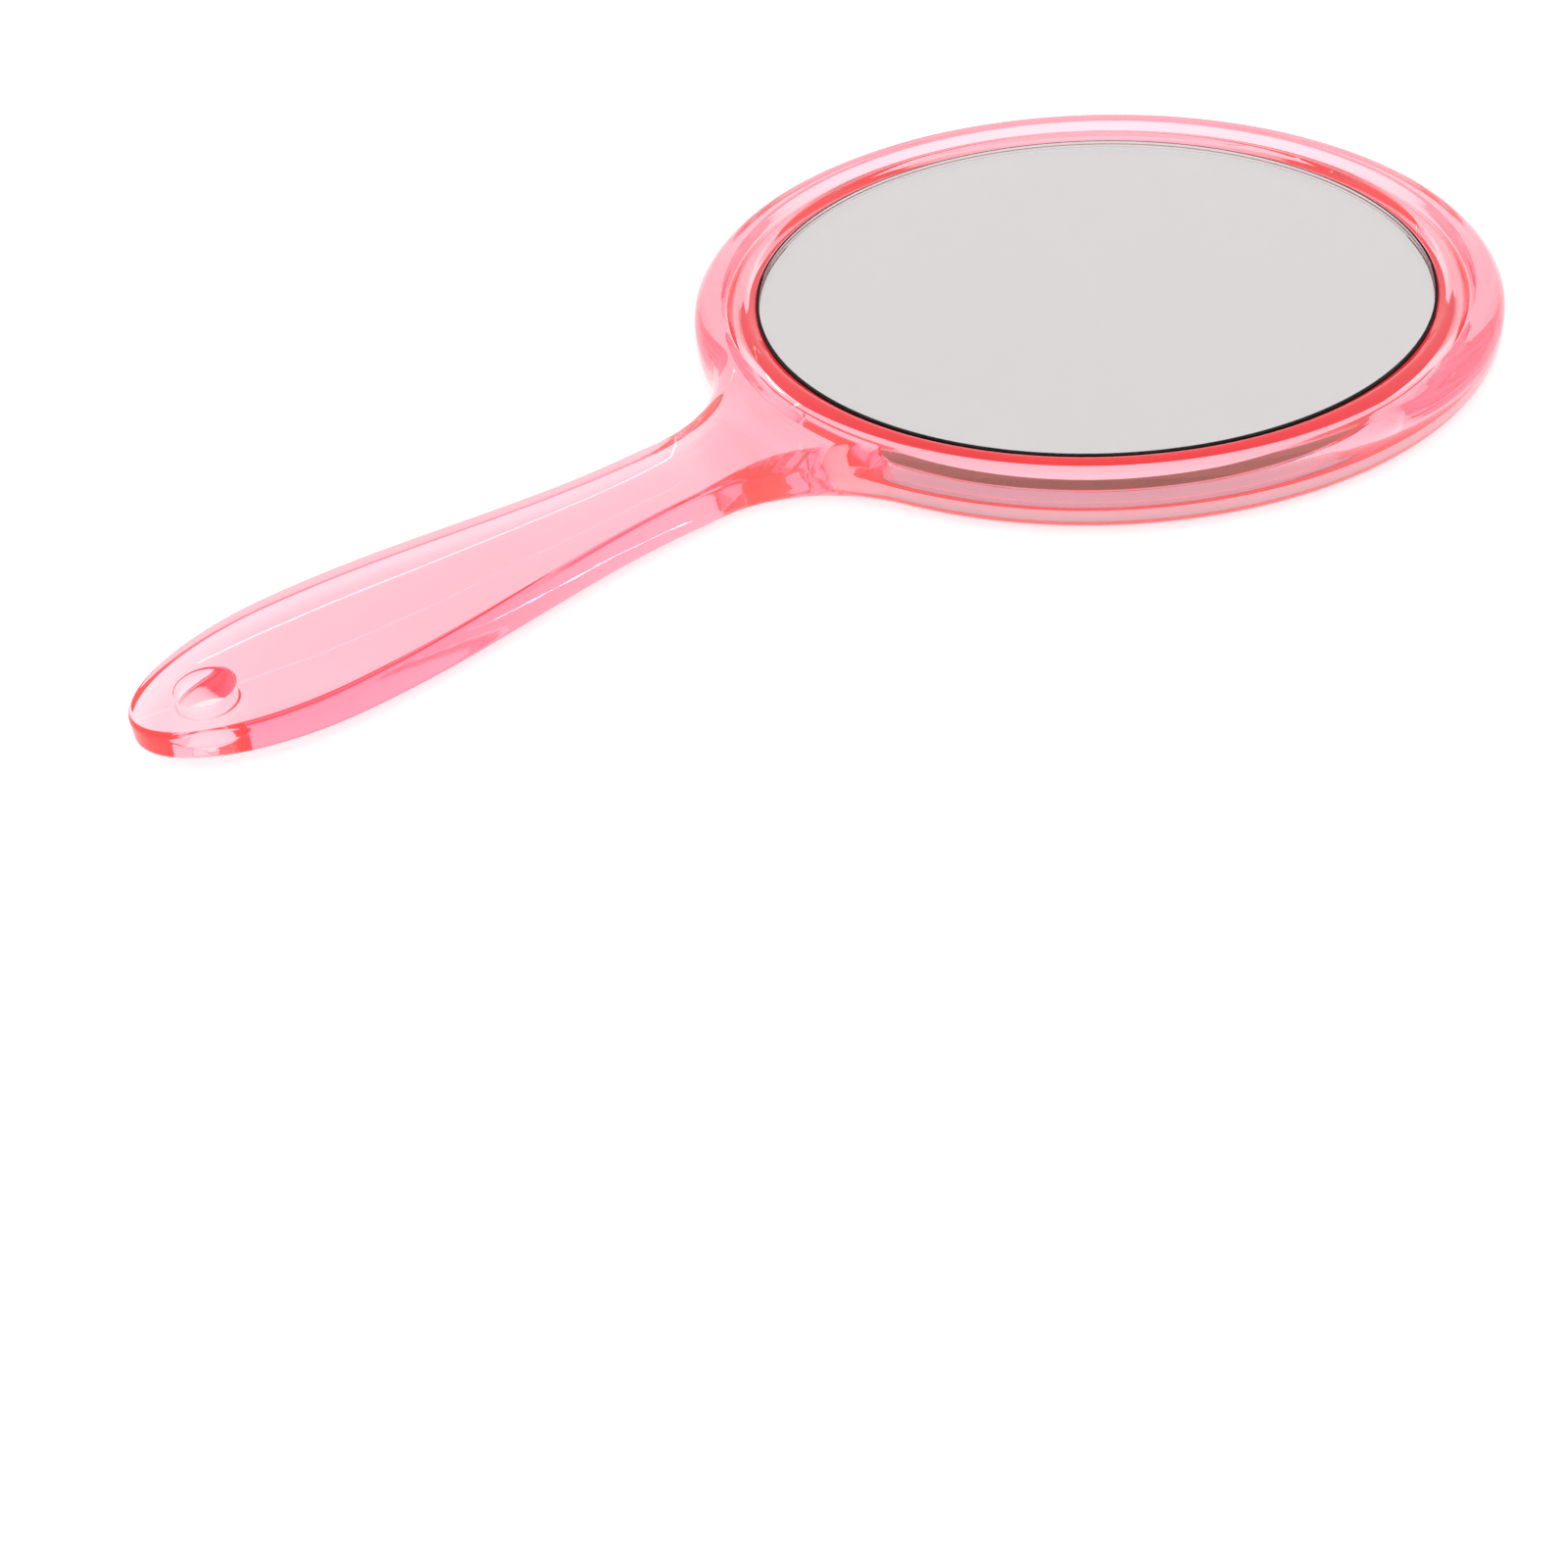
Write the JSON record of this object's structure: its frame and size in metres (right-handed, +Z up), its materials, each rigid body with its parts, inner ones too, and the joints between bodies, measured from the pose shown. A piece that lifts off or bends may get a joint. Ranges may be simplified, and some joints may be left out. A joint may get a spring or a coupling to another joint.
{
  "type": "hand mirror",
  "caption": "Hand mirror with a round silvered glass on each face, held in a clear pink moulded frame with a flat, swelling handle and a hanging hole.",
  "frame": {"origin": "under the middle of the mirror's overall length and width, on the surface that it lies on", "axes": "+Y runs along the mirror from the handle's tip to the round head, +X runs across it, +Z points up out of the front glass"},
  "size_m": [0.1324, 0.24, 0.0087],
  "materials": {
    "clear_pink_plastic": "polished transparent pink moulding",
    "mirror_glass": "polished float glass with a ground edge",
    "silver_film": "silver film with grey protective paint on its back",
    "foam_tape": "dark red foam tape"
  },
  "bodies": {
    "root": {"head_rim": "clear_pink_plastic", "pocket_web": "clear_pink_plastic", "handle": "clear_pink_plastic", "front_trim_ring": "clear_pink_plastic", "front_glass": "mirror_glass", "front_silver_backing": "silver_film", "front_tape_ring": "foam_tape", "front_centre_pad": "foam_tape", "rear_trim_ring": "clear_pink_plastic", "rear_glass": "mirror_glass", "rear_silver_backing": "silver_film", "rear_tape_ring": "foam_tape", "rear_centre_pad": "foam_tape"}
  },
  "joints": []
}
